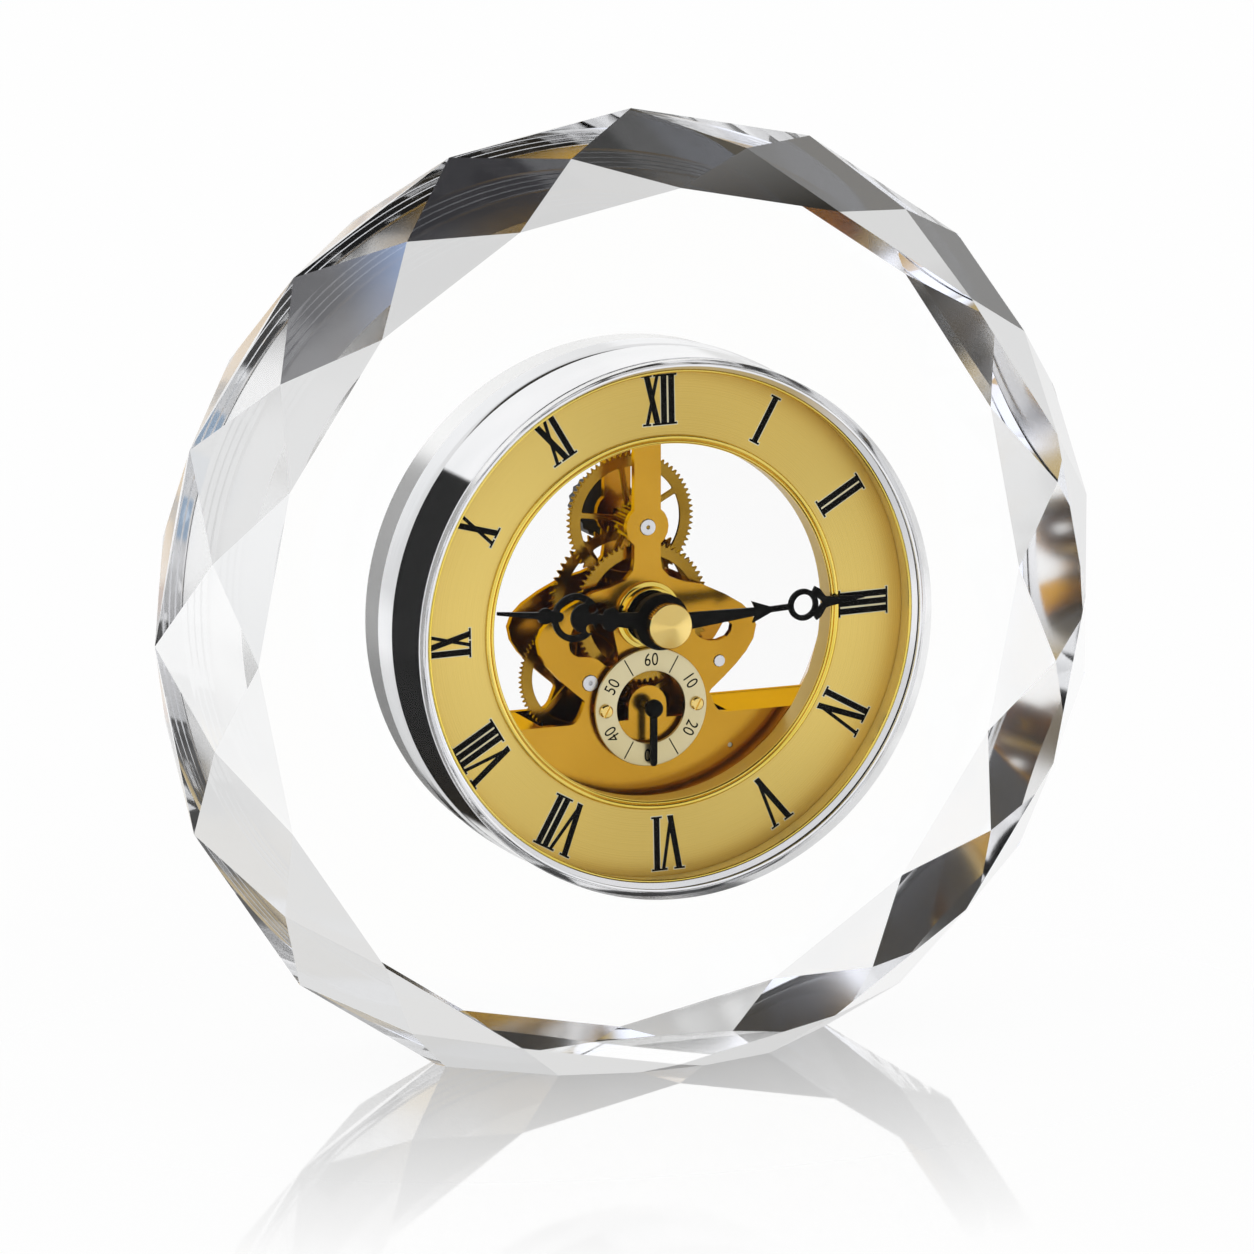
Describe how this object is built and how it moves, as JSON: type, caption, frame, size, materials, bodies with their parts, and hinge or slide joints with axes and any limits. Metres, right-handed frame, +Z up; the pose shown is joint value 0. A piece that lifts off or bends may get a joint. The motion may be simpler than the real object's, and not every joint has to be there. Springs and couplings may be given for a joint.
{
  "type": "crystal table clock",
  "caption": "Round faceted crystal block on a flat ground base, with a skeleton quartz movement, chapter ring, subsidiary seconds dial and black hands in its bore.",
  "frame": {"origin": "centre of the crystal's flat ground base", "axes": "+X to the viewer's right as the dial is read, +Y from the dial towards the back, +Z up"},
  "size_m": [0.156, 0.04, 0.148],
  "materials": {
    "crystal": "polished",
    "lens": "polished",
    "chrome": "polished",
    "gold_plate": "brushed",
    "polished_gold": "polished",
    "champagne": "satin",
    "brass": "satin",
    "steel": "satin",
    "black_hands": "semi-gloss",
    "black_plastic": "matt",
    "enamelled_copper": "gloss",
    "circuit_green": "matt"
  },
  "bodies": {
    "clock": {"crystal_body": "crystal", "case_ring": "chrome", "front_lens": "lens", "slope_ring": "chrome", "chapter_ring": "champagne", "inner_trim_ring": "polished_gold", "movement_holder": "gold_plate", "front_plate": "gold_plate", "back_plate": "gold_plate", "centre_bush": "polished_gold", "pivot_bush_top": "steel", "pivot_bush_left": "steel", "pillar_top": "steel", "pillar_left": "steel", "pillar_right": "steel", "pillar_side": "steel", "plate_screw_top": "steel", "plate_screw_left": "steel", "plate_screw_right": "steel", "plate_screw_side": "steel", "stator": "steel", "motor_coil": "enamelled_copper", "circuit_board": "circuit_green", "control_chip": "black_plastic", "quartz_can": "steel", "battery_cell": "steel", "battery_spring": "steel", "battery_cup": "black_plastic", "back_lens": "lens", "module_back": "black_plastic", "back_snap_ring": "chrome", "seconds_ring": "champagne", "seconds_screw_left": "brass", "seconds_screw_right": "brass", "seconds_spacer_left": "brass", "seconds_spacer_right": "brass"},
    "seconds": {"seconds_arbor": "steel", "seconds_wheel": "brass", "seconds_hand": "black_hands"},
    "third": {"third_arbor": "steel", "third_wheel": "brass"},
    "minute": {"centre_arbor": "steel", "centre_wheel": "brass", "cannon_pinion": "brass", "minute_hand": "black_hands", "hand_nut": "polished_gold"},
    "motion": {"minute_wheel": "brass", "minute_pinion": "brass", "setting_knob": "black_plastic"},
    "hour": {"hour_wheel": "brass", "hour_hand": "black_hands"},
    "step": {"step_arbor": "steel", "step_wheel": "brass"},
    "rotor": {"rotor_pinion": "steel", "rotor_magnet": "steel"},
    "battery_door": {"battery_door": "black_plastic"}
  },
  "joints": [
    {"name": "seconds_turn", "type": "hinge", "parent": "clock", "child": "seconds", "pos_m": [0, 0, 0.0557], "axis": [0, 1, 0], "continuous": true},
    {"name": "third_turn", "type": "hinge", "parent": "clock", "child": "third", "pos_m": [-0.0096, 0, 0.06], "axis": [0, 1, 0], "continuous": true},
    {"name": "minute_turn", "type": "hinge", "parent": "clock", "child": "minute", "pos_m": [0, 0, 0.07], "axis": [0, 1, 0], "continuous": true},
    {"name": "motion_turn", "type": "hinge", "parent": "clock", "child": "motion", "pos_m": [0, 0, 0.0838], "axis": [0, 1, 0], "continuous": true},
    {"name": "hour_turn", "type": "hinge", "parent": "clock", "child": "hour", "pos_m": [0, 0, 0.07], "axis": [0, 1, 0], "continuous": true},
    {"name": "step_turn", "type": "hinge", "parent": "clock", "child": "step", "pos_m": [0.00717, 0, 0.05068], "axis": [0, 1, 0], "continuous": true},
    {"name": "rotor_turn", "type": "hinge", "parent": "clock", "child": "rotor", "pos_m": [0.01393, 0, 0.04822], "axis": [0, 1, 0], "continuous": true},
    {"name": "battery_door_slide", "type": "slide", "parent": "clock", "child": "battery_door", "axis": [1, 0, 0], "range_m": [0, 0.014]}
  ],
  "couplings": [
    {"joint": "third_turn", "follows": "seconds_turn", "ratio": -0.13333},
    {"joint": "minute_turn", "follows": "seconds_turn", "ratio": 0.016667},
    {"joint": "motion_turn", "follows": "seconds_turn", "ratio": -0.0055556},
    {"joint": "hour_turn", "follows": "seconds_turn", "ratio": 0.0013889},
    {"joint": "step_turn", "follows": "seconds_turn", "ratio": -6},
    {"joint": "rotor_turn", "follows": "seconds_turn", "ratio": 30}
  ]
}
